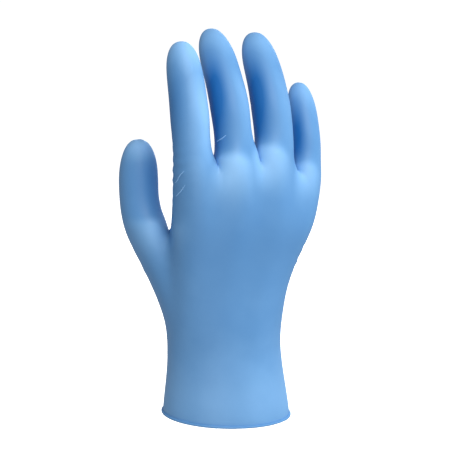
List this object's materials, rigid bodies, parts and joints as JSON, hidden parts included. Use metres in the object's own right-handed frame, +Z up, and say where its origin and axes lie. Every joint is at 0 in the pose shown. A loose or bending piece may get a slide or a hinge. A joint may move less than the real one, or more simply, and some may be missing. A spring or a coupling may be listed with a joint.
{
  "type": "nitrile exam glove",
  "caption": "Thin disposable exam glove in the shape it has on a right hand, hollow to the fingertips, with a rolled bead round the wrist opening.",
  "frame": {"origin": "middle of the wrist opening, just above the rolled bead", "axes": "+Z runs up the forearm to the fingertips, -Y comes out of the back of the hand, the thumb is on the -X side"},
  "size_m": [0.1186, 0.0645, 0.2324],
  "materials": {
    "nitrile_blue": "satin"
  },
  "bodies": {
    "root": {"nitrile_glove": "nitrile_blue"}
  },
  "joints": []
}
